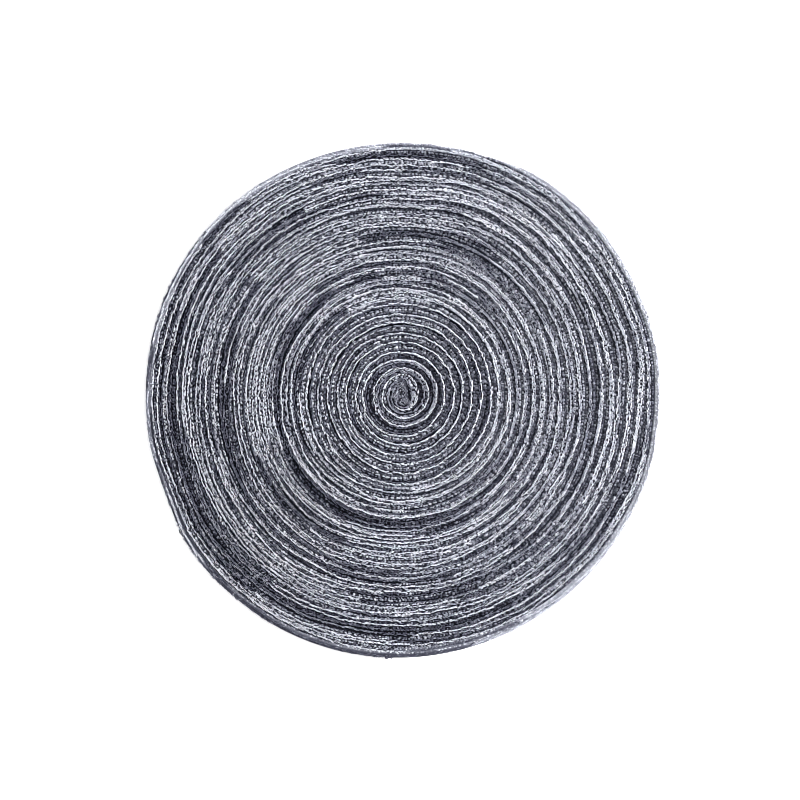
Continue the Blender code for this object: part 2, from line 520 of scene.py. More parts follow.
@dataclass(frozen=True)
class DyeAndPaintedLight:
    """The colours of the whole tape: its dyes, with painted light and painted shade on some turns."""

    path: TapePath
    # Painted light: the weft is painted a little paler towards the side the light comes from, and paler
    # still on the tipped turns.
    lit_side: float = math.radians(15.0)
    lit_side_gain: float = 0.03
    lit_face_gain: float = 0.26
    # Painted shade in the seam, on the outer edge of the early tipped turns.
    early_seam_shade: float = 0.48
    chain_gain: float = 0.10
    tipped_least_light: float = 0.50
    dark_start_turns: float = 1.46
    first_turns: float = FIRST_TURNS
    early_turns: float = 10.4

    def tone(self, yarn: Yarn, turn: Array, length: Array) -> Array:
        """Tone of one yarn.

        Args:
            yarn: Which yarn.
            turn: Turns at which it is wanted.
            length: Length of tape wound up to each turn.

        Returns:
            A tone from 0 to 1 for each.
        """
        tone = DYES[yarn].along(length)
        for run in DYE_RUNS_AND_LIT_RIM:
            if yarn in run.yarns:
                tone = np.where((turn >= run.from_turn) & (turn < run.to_turn), run.tone.value, tone)
        tone = np.where(turn < self.early_turns, EARLY_TONES[yarn].value, tone)
        tone = np.where(turn < self.first_turns, FIRST_TONES[yarn].value, tone)
        tone = np.where(turn < self.dark_start_turns, Tone.SLATE.value, tone)
        # Painted shade: the outer edge of the early turns is darker in the seams where they are tipped.
        if yarn is Yarn.OUTER_EDGE:
            tone = tone - self.early_seam_shade * self.path.lean(turn) * (turn < self.early_turns)
        lean = self.path.lean(turn) * (turn >= self.early_turns)
        # Painted light: the weft is paler towards the lit side and on the tipped turns.
        if yarn in WEFTS:
            tone = tone + self.lit_side_gain * np.cos(self.path.angle(turn) - self.lit_side)
            tone = tone + self.lit_face_gain * lean**2
        else:
            tone = tone + self.chain_gain * (1.0 - lean)
        # Painted light: no yarn of a tipped turn is darker than a share of its tipping.
        return np.maximum(tone, self.tipped_least_light * lean)


@dataclass(frozen=True)
class Shape:
    """A small triangulated shape that is repeated many times."""

    points: Array
    triangles: Array

    @staticmethod
    def bead(length: float, width: float, height: float, sides: int = 4, rings: int = 3) -> Shape:
        """A spindle of yarn along X.

        Args:
            length: Size along X.
            width: Size along Y.
            height: Size along Z.
            sides: Sides round its middle.
            rings: Bands from tip to tip.

        Returns:
            The shape, centred on the origin.
        """
        mesh = bmesh.new()
        bmesh.ops.create_uvsphere(mesh, u_segments=sides, v_segments=rings, radius=0.5)
        bmesh.ops.rotate(mesh, verts=mesh.verts, cent=(0, 0, 0), matrix=Matrix.Rotation(math.pi / 2, 3, "Y"))
        bmesh.ops.scale(mesh, verts=mesh.verts, vec=(length, width, height))
        bmesh.ops.triangulate(mesh, faces=mesh.faces)
        bmesh.ops.recalc_face_normals(mesh, faces=mesh.faces)
        points = np.array([vert.co for vert in mesh.verts])
        triangles = np.array([[vert.index for vert in face.verts] for face in mesh.faces])
        mesh.free()
        return Shape(points, triangles)


# Stitches in the seams of tipped turns get between this share and all of the painted seam shade.
LEAST_SEAM_SHADE = 0.58


def uneven_shade(painted_shade: Array, shade: Array, draw: np.random.Generator) -> Array:
    """How much painted shade each stitch gets, as some stand up out of the shaded seams.

    Args:
        painted_shade: Painted seam shade of the tipped tape on each stitch, from 0 to 1.
        shade: Painted shade of each where no seam shades it.
        draw: Where the random numbers come from.

    Returns:
        A depth from 0 to 1 for each.
    """
    seam_share = draw.uniform(LEAST_SEAM_SHADE, 1.0, len(painted_shade))
    return np.clip(painted_shade * seam_share + (1.0 - painted_shade) * shade, 0.0, 1.0)


@dataclass
class Stitches:
    """Where copies of one shape go on the tape: an entry of each array for every copy."""

    turn: Array
    across: Array
    height: Array
    heading: Array
    dip: Array
    size: Array
    tone: Array
    painted_shade: Array

    def chosen(self, wanted: Array) -> Stitches:
        """Only the wanted copies."""
        return Stitches(**{name: values[wanted] for name, values in vars(self).items()})

    def joined(self, other: Stitches) -> Stitches:
        """These copies and the other's."""
        pairs = {name: (values, getattr(other, name)) for name, values in vars(self).items()}
        return Stitches(**{name: np.concatenate(pair) for name, pair in pairs.items()})


def new_piece(name: str, mesh: Mesh, material: Material) -> Object:
    """Put a finished mesh in the scene as a piece of the mat.

    Args:
        name: The piece's name.
        mesh: Its mesh, already in place.
        material: Its finish.

    Returns:
        The piece, riding on the mat's body.
    """
    mesh.materials.append(material)
    mesh.shade_smooth()
    piece = bpy.data.objects.new(name, mesh)
    bpy.context.scene.collection.objects.link(piece)
    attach(piece, "root")
    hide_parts(CAD_NODE)
    LOG.info("%s: %d faces", name, len(mesh.polygons))
    return piece


def set_map(mesh: Mesh, name: str, at_corner: Array) -> None:
    """Write a UV map, with one place for each face corner."""
    layer = mesh.uv_layers.new(name=name, do_init=False)
    layer.uv.foreach_set("vector", at_corner.astype(np.float32).ravel())


def set_value(mesh: Mesh, name: str, at_vertex: Array) -> None:
    """Write a number for each vertex as an attribute."""
    attribute = mesh.attributes.new(name=name, type="FLOAT", domain="POINT")
    attribute.data.foreach_set("value", at_vertex.astype(np.float32).ravel())


def triangle_mesh(name: str, points: Array, corners: Array) -> Mesh:
    """Build a mesh of triangles.

    Args:
        name: The mesh's name.
        points: Its vertices.
        corners: The vertex of each face corner, three for each triangle.

    Returns:
        The mesh.
    """
    mesh = bpy.data.meshes.new(name)
    mesh.vertices.add(points.size // 3)
    mesh.vertices.foreach_set("co", points.astype(np.float32).ravel())
    mesh.loops.add(len(corners))
    mesh.loops.foreach_set("vertex_index", corners.astype(np.int32))
    mesh.polygons.add(len(corners) // 3)
    mesh.polygons.foreach_set("loop_start", np.arange(0, len(corners), 3, dtype=np.int32))
    mesh.update(calc_edges=True)
    return mesh


@dataclass(frozen=True)
class Copies:
    """A shape repeated along the tape."""

    shape: Shape
    stitches: Stitches
    path: TapePath
    fibre_offset: tuple[float, float] = (0.0137, 0.0071)
    cell_filled: float = 0.9

    def sized(self) -> Array:
        """Points of every copy in the shape's own frame, at the copy's size."""
        return self.shape.points[None] * self.stitches.size[:, None, :]

    def placed(self, local: Array) -> Array:
        """Points of every copy on the mat.

        Args:
            local: The points in the shape's own frame.

        Returns:
            The same points, dipped, turned to their heading and bent along the spiral.
        """
        stitches, path = self.stitches, self.path
        dip, heading = stitches.dip[:, None], stitches.heading[:, None]
        forward = local[..., 0] * np.cos(dip) + local[..., 2] * np.sin(dip)
        up = local[..., 2] * np.cos(dip) - local[..., 0] * np.sin(dip)
        along = forward * np.cos(heading) - local[..., 1] * np.sin(heading)
        aside = forward * np.sin(heading) + local[..., 1] * np.cos(heading)

        distance = path.row_distance(stitches.turn, stitches.across)
        step = 1.0 / path.samples_per_turn
        ahead = path.row_distance(stitches.turn + step, stitches.across)
        behind = path.row_distance(stitches.turn - step, stitches.across)
        slope = (ahead - behind) / (2.0 * FULL_TURN * step * np.maximum(distance, path.tape_width))
        turn = stitches.turn[:, None] + along / (FULL_TURN * distance[:, None])
        reach = distance[:, None] + aside + slope[:, None] * along
        return path.place(turn, reach, stitches.height[:, None] + up)

    def fibre_places(self, local: Array) -> Array:
        """Lay out every copy lengthwise on the map, each at a place of its own among the streaks.

        Args:
            local: The points in the shape's own frame.

        Returns:
            A place on the map for each point.
        """
        number = np.arange(len(local))
        offset = np.stack([number * step % 1.0 for step in self.fibre_offset], axis=-1)
        return (local[..., :2] + offset[:, None]).reshape(-1, 2)

    def bake_places(self, count: int) -> Array:
        """Give every copy a cell of the unit square, for baking.

        Args:
            count: How many copies there are.

        Returns:
            A place in the unit square for each point.
        """
        columns = math.ceil(math.sqrt(count))
        cell = np.stack([np.arange(count) % columns, np.arange(count) // columns], axis=-1)
        outline = self.shape.points[:, :2] / np.ptp(self.shape.points[:, :2], axis=0)
        spread = outline * self.cell_filled + 0.5
        return ((cell[:, None] + spread[None]) / columns).reshape(-1, 2)

    def shade_depths(self) -> Array:
        """Work out how much painted shade every point gets.

        Returns:
            A painted shade from 0, on top of a copy that stands clear, to 1, at its foot or in a seam.
        """
        heights = self.shape.points[:, 2]
        depth = 1.0 - (heights - heights.min()) / np.ptp(heights)
        return 1.0 - (1.0 - depth[None]) * (1.0 - self.stitches.painted_shade[:, None])

    def joined(self, name: str) -> Mesh:
        """Make one mesh of all the copies.

        Args:
            name: The mesh's name.

        Returns:
            The mesh, with its tape map, its bake map, and its tone and painted shade at each vertex.
        """
        count, points = len(self.stitches.turn), len(self.shape.points)
        local = self.sized()
        corners = (self.shape.triangles[None] + points * np.arange(count)[:, None, None]).reshape(-1)
        mesh = triangle_mesh(name, self.placed(local), corners)
        set_map(mesh, TAPE_MAP, self.fibre_places(local)[corners])
        set_map(mesh, BAKE_MAP, self.bake_places(count)[corners])
        set_value(mesh, TONE_ATTRIBUTE, np.repeat(np.clip(self.stitches.tone, 0.0, 1.0), points))
        set_value(mesh, SHADE_DEPTH_ATTRIBUTE, self.shade_depths())
        return mesh


def shader_group(name: str, inputs: dict[str, str], outputs: dict[str, str]) -> NodeTree:
    """Start a shader node group with named sockets.

    Args:
        name: The group's name.
        inputs: Socket type of each input.
        outputs: Socket type of each output.

    Returns:
        The group, with a node for its inputs and a node for its outputs.
    """
    tree = bpy.data.node_groups.new(name, "ShaderNodeTree")
    for direction, sockets in (("INPUT", inputs), ("OUTPUT", outputs)):
        for label, kind in sockets.items():
            tree.interface.new_socket(name=label, in_out=direction, socket_type=kind)
    tree.nodes.new("NodeGroupInput").name = "Inputs"
    tree.nodes.new("NodeGroupOutput").name = "Outputs"
    return tree


def matt_material(name: str, roughness: float) -> tuple[Material, ShaderNode]:
    """Start a material.

    Args:
        name: The material's name.
        roughness: How rough it is.

    Returns:
        The material and its shader.
    """
    material = bpy.data.materials.new(name)
    material.use_nodes = True
    shader = material.node_tree.nodes["Principled BSDF"]
    shader.inputs["Roughness"].default_value = roughness
    return material, shader


def add_node(tree: NodeTree, kind: str, **properties: object) -> Node:
    """Add a node.

    Args:
        tree: Where it goes.
        kind: Its type, without the words that all types start with.
        properties: The node's own properties.

    Returns:
        The node.
    """
    node = tree.nodes.new(f"ShaderNode{kind}")
    for name, value in properties.items():
        setattr(node, name, value)
    return node


def maths(tree: NodeTree, operation: str, *values: float | NodeSocket) -> NodeSocket:
    """Add a Math node.

    Args:
        tree: Where it goes.
        operation: What it does.
        values: A number or a socket for each of its inputs.

    Returns:
        Its result.
    """
    node = add_node(tree, "Math", operation=operation)
    for socket, value in zip(node.inputs, values):
        if isinstance(value, NodeSocket):
            tree.links.new(value, socket)
        else:
            socket.default_value = value
    return node.outputs[0]


# The dyes in linear light
DYE_COLOURS = {
    Tone.CHARCOAL: (0.066, 0.068, 0.094, 1.0),
    Tone.SLATE: (0.165, 0.171, 0.216, 1.0),
    Tone.GREY: (0.345, 0.358, 0.422, 1.0),
    Tone.LIGHT: (0.545, 0.565, 0.635, 1.0),
    Tone.PALE: (0.755, 0.775, 0.845, 1.0),
}


@dataclass(frozen=True)
class YarnColour:
    """How the dyed colour varies with the fibres, with painted shade where the yarn lies deep."""

    fibre_swing: float = 0.60
    # Painted shade: the fibres mottle it, and it turns a little bluer as it deepens.
    fibre_shade: float = 1.0
    deep_shade: float = 0.97
    shade_blue: float = 0.945

    def group(self) -> NodeTree:
        """Build the node group that turns a tone into a dyed colour, with painted shade where the yarn lies
        deep.

        Returns:
            The group, with the inputs Tone, the depth of the painted shade, and Fibre, and the output Color.
        """
        numbers = {name: "NodeSocketFloat" for name in ("Tone", "Depth", "Fibre")}
        tree = shader_group("dyed_yarn", numbers, {"Color": "NodeSocketColor"})
        inputs, link = tree.nodes["Inputs"].outputs, tree.links.new
        centred = maths(tree, "SUBTRACT", inputs["Fibre"], 0.5)
        mottled = maths(tree, "MULTIPLY_ADD", centred, self.fibre_swing, inputs["Tone"])
        ramp = add_node(tree, "ValToRGB")
        stops = list(DYE_COLOURS.items())
        for element, (tone, colour) in zip(ramp.color_ramp.elements, (stops[0], stops[-1])):
            element.position, element.color = tone.value, colour
        for tone, colour in stops[1:-1]:
            ramp.color_ramp.elements.new(tone.value).color = colour
        link(mottled, ramp.inputs["Fac"])

        # Painted shade: darker where the yarn lies deep, mottled by the fibres, and a little bluer.
        uneven = maths(tree, "MULTIPLY_ADD", centred, self.fibre_shade, inputs["Depth"])
        held = maths(tree, "MINIMUM", maths(tree, "MAXIMUM", uneven, 0.0), 1.0)
        shade = maths(tree, "MULTIPLY_ADD", held, -self.deep_shade, 1.0)
        tint = add_node(tree, "CombineColor")
        link(shade, tint.inputs["Red"])
        link(shade, tint.inputs["Green"])
        link(maths(tree, "POWER", shade, self.shade_blue), tint.inputs["Blue"])

        mix = add_node(tree, "Mix", data_type="RGBA", blend_type="MULTIPLY")
        mix.inputs["Factor"].default_value = 1.0
        link(ramp.outputs["Color"], mix.inputs["A"])
        link(tint.outputs["Color"], mix.inputs["B"])
        link(mix.outputs["Result"], tree.nodes["Outputs"].inputs["Color"])
        return tree


@dataclass(frozen=True)
class YarnFibre:
    """The fibres of a yarn, as fine streaks along it."""

    streaks_per_metre: float = 1300.0
    stretch: float = 0.45
    detail: float = 2.0

    def group(self) -> NodeTree:
        """Build the node group that gives streaks along a map.

        Returns:
            The group, with the input Map, and the output Fibre from 0 to 1.
        """
        tree = shader_group("yarn_fibre", {"Map": "NodeSocketVector"}, {"Fibre": "NodeSocketFloat"})
        scale, noise = add_node(tree, "Mapping"), add_node(tree, "TexNoise")
        across = self.streaks_per_metre
        scale.inputs["Scale"].default_value = (across * self.stretch, across, 1.0)
        noise.inputs["Scale"].default_value = 1.0
        noise.inputs["Detail"].default_value = self.detail
        tree.links.new(tree.nodes["Inputs"].outputs["Map"], scale.inputs["Vector"])
        tree.links.new(scale.outputs["Vector"], noise.inputs["Vector"])
        tree.links.new(noise.outputs["Fac"], tree.nodes["Outputs"].inputs["Fibre"])
        return tree


@dataclass(frozen=True)
class YarnFinish:
    """Matt yarn, streaked with fibres, with painted shade where it lies deep."""

    name: str
    colour: NodeTree
    fibre: NodeTree
    # The share of the painted shade that this finish takes.
    shade_share: float = 1.0
    roughness: float = 0.92
    specular: float = 0.03
    bump_height: float = 0.12 * MM

    def material(self) -> Material:
        """Build the finish.

        Returns:
            A material that reads the piece's tape map, tone and the depth of its painted shade.
        """
        material, shader = matt_material(self.name, self.roughness)
        tree, link = material.node_tree, material.node_tree.links.new
        shader.inputs["Specular IOR Level"].default_value = self.specular
        place = add_node(tree, "UVMap", uv_map=TAPE_MAP)
        fibre = add_node(tree, "Group", node_tree=self.fibre)
        link(place.outputs["UV"], fibre.inputs["Map"])

        tone = add_node(tree, "Attribute", attribute_name=TONE_ATTRIBUTE)
        depth = add_node(tree, "Attribute", attribute_name=SHADE_DEPTH_ATTRIBUTE)
        deep = maths(tree, "MULTIPLY", depth.outputs["Fac"], self.shade_share)
        colour = add_node(tree, "Group", node_tree=self.colour)
        link(tone.outputs["Fac"], colour.inputs["Tone"])
        link(deep, colour.inputs["Depth"])
        link(fibre.outputs["Fibre"], colour.inputs["Fibre"])
        link(colour.outputs["Color"], shader.inputs["Base Color"])

        bump = add_node(tree, "Bump")
        bump.inputs["Distance"].default_value = self.bump_height
        link(fibre.outputs["Fibre"], bump.inputs["Height"])
        link(bump.outputs["Normal"], shader.inputs["Normal"])
        return material


@dataclass(frozen=True)
class SectionPoint:
    """A point of the tape's cross-section, with its yarn and how much painted shade it gets for lying deep
    between the stitches.
    """

    across: float
    height: float
    yarn: Yarn
    depth: float
    is_face: bool = True


@dataclass
class TapeBody:
    """The knitted ground of the tape, as one closed band along the whole spiral."""

    path: TapePath
    dyed: DyeAndPaintedLight
    finish: YarnFinish
    steps_per_turn: int = 120
    overlap: float = 0.006
    weld_distance: float = 1e-7
    row_margin: float = 0.04
    # The rim gets less painted shade than the seams, because no turn beside it shades it.
    rim_shade: float = 0.60
    fold_shade: float = 0.55
    # The last number of each point is its painted shade: full on the face, deep between the stitches, less
    # underneath.
    section: tuple[SectionPoint, ...] = (
        SectionPoint(0.00, 1.10 * MM, Yarn.INNER_EDGE, 1.0),
        SectionPoint(0.03, 1.40 * MM, Yarn.INNER_EDGE, 1.0),
        SectionPoint(0.12, 1.70 * MM, Yarn.INNER_EDGE, 1.0),
        SectionPoint(0.286, 2.00 * MM, Yarn.INNER_CHAIN, 1.0),
        SectionPoint(0.50, 1.80 * MM, Yarn.MIDDLE, 1.0),
        SectionPoint(0.714, 2.00 * MM, Yarn.OUTER_CHAIN, 1.0),
        SectionPoint(0.88, 1.70 * MM, Yarn.OUTER_EDGE, 1.0),
        SectionPoint(0.97, 1.40 * MM, Yarn.OUTER_EDGE, 1.0),
        SectionPoint(1.00, 1.10 * MM, Yarn.OUTER_EDGE, 1.0),
        SectionPoint(0.96, 0.65 * MM, Yarn.OUTER_EDGE, 0.80, is_face=False),
        SectionPoint(0.85, 0.15 * MM, Yarn.OUTER_EDGE, 0.65, is_face=False),
        SectionPoint(0.72, 0.00 * MM, Yarn.OUTER_CHAIN, 0.40, is_face=False),
        SectionPoint(0.50, 0.30 * MM, Yarn.MIDDLE, 0.65, is_face=False),
        SectionPoint(0.28, 0.00 * MM, Yarn.INNER_CHAIN, 0.40, is_face=False),
        SectionPoint(0.15, 0.15 * MM, Yarn.INNER_EDGE, 0.65, is_face=False),
        SectionPoint(0.04, 0.65 * MM, Yarn.INNER_EDGE, 0.80, is_face=False),
    )

    def flat_strip(self, steps: int) -> Mesh:
        """Make the flat grid that is wound up, with a row of faces for each side of the cross-section.

        Args:
            steps: Steps along the whole tape.

        Returns:
            A grid that is one metre square, with its middle at the origin.
        """
        grid = bmesh.new()
        bmesh.ops.create_grid(grid, x_segments=steps, y_segments=len(self.section), size=0.5)
        strip = bpy.data.meshes.new("tape_body")
        grid.to_mesh(strip)
        grid.free()
        return strip

    def close(self, strip: Mesh) -> None:
        """Weld the strip's long edges into a tube and cap its ends.

        Args:
            strip: The strip, already wound up.
        """
        closed = bmesh.new()
        closed.from_mesh(strip)
        bmesh.ops.remove_doubles(closed, verts=closed.verts, dist=self.weld_distance)
        ends = [edge for edge in closed.edges if edge.is_boundary]
        bmesh.ops.edgeloop_fill(closed, edges=ends)
        bmesh.ops.recalc_face_normals(closed, faces=closed.faces)
        closed.to_mesh(strip)
        closed.free()

    def tones(self, point: Array, turn: Array, length: Array) -> Array:
        """Tone at each vertex.

        Args:
            point: Which point of the cross-section it is.
            turn: Turns made so far.
            length: Length of tape wound up to there.

        Returns:
            A tone from 0 to 1 for each.
        """
        tone = np.zeros(len(turn))
        for number, place in enumerate(self.section):
            here = point == number
            tone[here] = self.dyed.tone(place.yarn, turn[here], length[here])
        return np.clip(tone, 0.0, 1.0)

    def build(self) -> Object:
        """Wind a flat strip, closed round the cross-section, into the spiral.

        Returns:
            The ground as one piece.
        """
        path = self.path
        steps = round((path.turns - path.start_turn) * self.steps_per_turn)
        sides = len(self.section)
        strip = self.flat_strip(steps)
        flat = np.empty(3 * len(strip.vertices), np.float32)
        strip.vertices.foreach_get("co", flat)
        column = np.rint((flat[0::3] + 0.5) * steps)
        row = np.rint((flat[1::3] + 0.5) * sides).astype(int)
        point = row % sides
        turn = np.minimum(path.start_turn + column / self.steps_per_turn, path.turns)
        length = np.interp(turn, *path.lengths())
        across = np.array([p.across for p in self.section])[point]
        height = np.array([p.height for p in self.section])[point]
        is_face = np.array([p.is_face for p in self.section])[point]
        inner, outer = path.edges(turn)
        distance = inner + (outer - inner) * (across * (1.0 + 2.0 * self.overlap) - self.overlap)
        places = path.place(turn, distance, height + is_face * path.lift(turn, across))
        strip.vertices.foreach_set("co", places.astype(np.float32).ravel())

        corner = np.empty(len(strip.loops), np.int32)
        strip.loops.foreach_get("vertex_index", corner)
        side_width = path.tape_width * 2.0 / sides
        set_map(strip, TAPE_MAP, np.stack([length, row * side_width], axis=-1)[corner])
        set_map(strip, BAKE_MAP, self.bake_places(corner, column, row, steps))
        set_value(strip, TONE_ATTRIBUTE, self.tones(point, turn, length))
        # Painted shade of the ground, lighter at the rim and at its folded end.
        depth = np.array([p.depth for p in self.section])[point]
        rim_shade = np.where(path.is_folded(turn), self.fold_shade, self.rim_shade)
        depth = depth * np.where(path.is_rim(turn, across), rim_shade, 1.0)
        set_value(strip, SHADE_DEPTH_ATTRIBUTE, depth)
        self.close(strip)
        return new_piece("tape_body", strip, self.finish.material())

    def bake_places(self, corner: Array, column: Array, row: Array, steps: int) -> Array:
        """Lay the strip out in rows that fill a square, for baking.

        Args:
            corner: Vertex of each face corner.
            column: Step along the tape of each vertex.
            row: Place round the cross-section of each vertex.
            steps: Steps along the whole tape.

        Returns:
            A place in the unit square for each face corner.
        """
        bands = round(math.sqrt(self.path.lengths()[1][-1] / (2.0 * self.path.tape_width)))
        per_band = math.ceil(steps / bands)
        face_column = column[corner].reshape(-1, QUAD_CORNERS).min(axis=1)
        band = np.repeat(face_column // per_band, QUAD_CORNERS)
        u = (column[corner] - band * per_band) / per_band
        filled = 1.0 - 2.0 * self.row_margin
        v = (band + self.row_margin + filled * row[corner] / len(self.section)) / bands
        return np.stack([u, v], axis=-1)


@dataclass
class StitchRow:
    """A row of one yarn's stitches along the whole tape."""

    path: TapePath
    dyed: DyeAndPaintedLight
    finish: YarnFinish
    yarn: Yarn
    seed: int
    stitch_length: float = 2.2 * MM
    phase: float = 0.0
    spacing_jitter: float = 0.10
    clear_of_edge: float = 0.5 * MM

    def spaced(self, draw: np.random.Generator) -> tuple[Array, Array]:
        """Space the stitches along the tape.

        Args:
            draw: Where the random numbers come from.

        Returns:
            The length of tape wound up to each stitch, and the turns made.
        """
        turns, lengths = self.path.lengths()
        first = self.stitch_length * (1.0 + self.phase)
        length = np.arange(first, lengths[-1] - self.stitch_length, self.stitch_length)
        length = length + draw.normal(0.0, self.spacing_jitter, len(length)) * self.stitch_length
        return length, np.interp(length, lengths, turns)

    def shown(self, stitches: Stitches) -> Stitches:
        """Only the stitches that aren't folded under."""
        return stitches.chosen(self.path.row_shows(stitches.turn, stitches.across, self.clear_of_edge))

    def piece(self, name: str, shape: Shape, stitches: Stitches) -> Object:
        """Make one piece of a shape's copies."""
        mesh = Copies(shape, stitches, self.path).joined(name)
        return new_piece(name, mesh, self.finish.material())


@dataclass
class ChainRow(StitchRow):
    """One raised chain: two legs of yarn for each stitch, leaning together like a row of arrowheads."""

    leg: tuple[float, float, float] = (2.9 * MM, 0.66 * MM, 0.95 * MM)
    leg_spacing: float = 0.44 * MM
    leg_angle: float = math.radians(12.0)
    inner_leg_shade: float = 0.22
    leg_dip: float = math.radians(7.0)
    height: float = 3.0 * MM
    drift: Wander = Wander(4.5 * MM, 0.28 * MM)
    slow_drift: Wander = Wander(55.0 * MM, 0.55 * MM)
    jitter: float = 0.17 * MM
    leg_jitter: float = 0.18 * MM
    size_jitter: float = 0.19
    angle_jitter: float = 0.25
    dip_jitter: float = 0.30
    rise: float = 0.07 * MM
    tone_jitter: float = 0.14
    shade_jitter: float = 0.25
    slub_share: float = 0.12
    slub_size: float = 1.6
    split_turn: float = 20.0

    def stitches(self) -> Stitches:
        """Place the legs of every stitch.

        Returns:
            The places of all legs, first those on the inner side.
        """
        draw = np.random.default_rng(self.seed)
        length, turn = self.spaced(draw)
        count = len(length)
        across = ROWS[self.yarn].across(self.path, turn)
        tone = self.dyed.tone(self.yarn, turn, length)
        shift = self.drift.along(length, self.seed) + draw.normal(0.0, self.jitter, count)
        shift = shift + TAPE_DRIFT.along(length, TAPE_DRIFT_SEED)
        shift = shift + self.slow_drift.along(length, self.seed + 1)
        rise = self.path.lift(turn, across) + draw.normal(0.0, self.rise, count)
        slub = np.where(draw.random(count) < self.slub_share, self.slub_size, 1.0)
        sides = []
        for side in (-1.0, 1.0):
            size = draw.normal(1.0, self.size_jitter, (count, 3))
            size[:, 1:] *= slub[:, None]
            aside = shift + side * self.leg_spacing / 2.0 + draw.normal(0.0, self.leg_jitter, count)
            shade = np.abs(draw.normal(0.0, self.shade_jitter, count)) + self.inner_leg_shade * (side < 0.0)
            sides.append(
                Stitches(
                    turn=turn,
                    across=across + aside / self.path.tape_width,
                    height=self.height + rise,
                    heading=side * self.leg_angle * draw.normal(1.0, self.angle_jitter, count),
                    dip=-self.leg_dip * draw.normal(1.0, self.dip_jitter, count),
                    size=size,
                    tone=tone + draw.normal(0.0, self.tone_jitter, count),
                    painted_shade=uneven_shade(self.path.painted_shade(turn, across), shade, draw),
                )
            )
        return self.shown(sides[0].joined(sides[1]))

    def build(self) -> list[Object]:
        """Make the chain as two pieces, because one would have too many triangles.

        Returns:
            The inner turns and the outer turns.
        """
        every, leg = self.stitches(), Shape.bead(*self.leg)
        pieces = []
        for first, last in ((0.0, self.split_turn), (self.split_turn, self.path.turns)):
            legs = every.chosen((every.turn >= first) & (every.turn < last))
            name = f"{self.yarn.value}_turns_{math.floor(first)}_to_{math.floor(last)}"
            pieces.append(self.piece(name, leg, legs))
        return pieces


@dataclass
class WeftBars(StitchRow):
    """The weft yarn where it crosses between the chains: a bar for each stitch."""

    phase: float = 0.5
    spacing_jitter: float = 0.24
    outward: float = 0.0
    bar: tuple[float, float, float] = (1.20 * MM, 2.2 * MM, 0.8 * MM)
    height: float = 2.4 * MM
    slope: float = 0.0
    lean: float = math.radians(24.0)
    seam_drop: float = 0.3 * MM
    fullness: float = 0.50
    across_jitter: float = 0.022
    size_jitter: float = 0.24
    rise: float = 0.06 * MM
    tone_jitter: float = 0.18
    shade_jitter: float = 0.30

    def build(self) -> Object:
        """Make all the bars of this yarn.

        Returns:
            The bars as one piece.
        """
        draw, path = np.random.default_rng(self.seed), self.path
        length, turn = self.spaced(draw)
        count = len(length)
        across = ROWS[self.yarn].across(path, turn)
        drop = (path.tightness(turn) - 1.0) * abs(self.outward) * self.seam_drop
        tipped = path.lean_rise / path.tape_width * path.lean(turn)
        pitch = path.row_distance(turn, 1.0) - path.row_distance(turn, 0.0)
        drift = TAPE_DRIFT.along(length, TAPE_DRIFT_SEED) / path.tape_width
        tone = self.dyed.tone(self.yarn, turn, length)
        shade = np.abs(draw.normal(0.0, self.shade_jitter, count))
        size = draw.normal(1.0, self.size_jitter, (count, 3))
        widened = np.maximum(pitch / path.tape_width, 1.0)
        size[:, 0] *= (1.0 + self.fullness * path.lean(turn)) * widened
        bars = Stitches(
            turn=turn,
            across=across + draw.normal(0.0, self.across_jitter, count) + drift,
            height=self.height + path.lift(turn, across) - drop + draw.normal(0.0, self.rise, count),
            heading=math.pi / 2.0 + draw.normal(0.0, self.lean, count),
            dip=self.outward * self.slope * path.tightness(turn) - tipped,
            size=size,
            tone=tone + draw.normal(0.0, self.tone_jitter, count),
            painted_shade=uneven_shade(path.painted_shade(turn, across), shade, draw),
        )
        return self.piece(f"{self.yarn.value}_weft", Shape.bead(*self.bar), self.shown(bars))


@dataclass
class WeftLoops(WeftBars):
    """The weft yarn where it loops out to an edge of the tape, sloping down towards the seam."""

    outward: float = 1.0
    bar: tuple[float, float, float] = (1.40 * MM, 2.2 * MM, 0.8 * MM)
    height: float = 2.2 * MM
    slope: float = math.radians(24.0)


@dataclass
class StartKnot:
    """The stitches of the tucked start, crumpled together in the middle of the first turn."""

    path: TapePath
    finish: YarnFinish
    count: int = 190
    bead: tuple[float, float, float] = (1.9 * MM, 0.7 * MM, 0.9 * MM)
    reach: float = 7.5 * MM
    height: float = 2.5 * MM
    rise: float = 0.12 * MM
    dip: float = 0.2
    size_jitter: float = 0.2
    tone: float = 0.42
    tone_spread: float = 0.26
    shade_spread: float = 0.35
    clear_of_start: float = 0.8 * MM
    clear_of_edge: float = 1.0 * MM
    seed: int = 12

    def build(self) -> Object:
        """Make the knot.

        Returns:
            The knot as one piece.
        """
        draw = np.random.default_rng(self.seed)
        count = self.count
        turn = self.path.start_turn + draw.random(count)
        distance = self.reach * np.sqrt(draw.random(count))
        inner, outer = self.path.row_distance(turn, 0.0), self.path.row_distance(turn, 1.0)
        stitches = Stitches(
            turn=turn,
            across=(distance - inner) / (outer - inner),
            height=self.height + draw.normal(0.0, self.rise, count),
            heading=draw.uniform(-math.pi, math.pi, count),
            dip=draw.normal(0.0, self.dip, count),
            size=draw.normal(1.0, self.size_jitter, (count, 3)),
            tone=draw.normal(self.tone, self.tone_spread, count),
            painted_shade=np.abs(draw.normal(0.0, self.shade_spread, count)),
        )
        inside = (distance > self.clear_of_start) & (distance < outer - self.clear_of_edge)
        mesh = Copies(Shape.bead(*self.bead), stitches.chosen(inside), self.path).joined("start_knot")
        return new_piece("start_knot", mesh, self.finish.material())


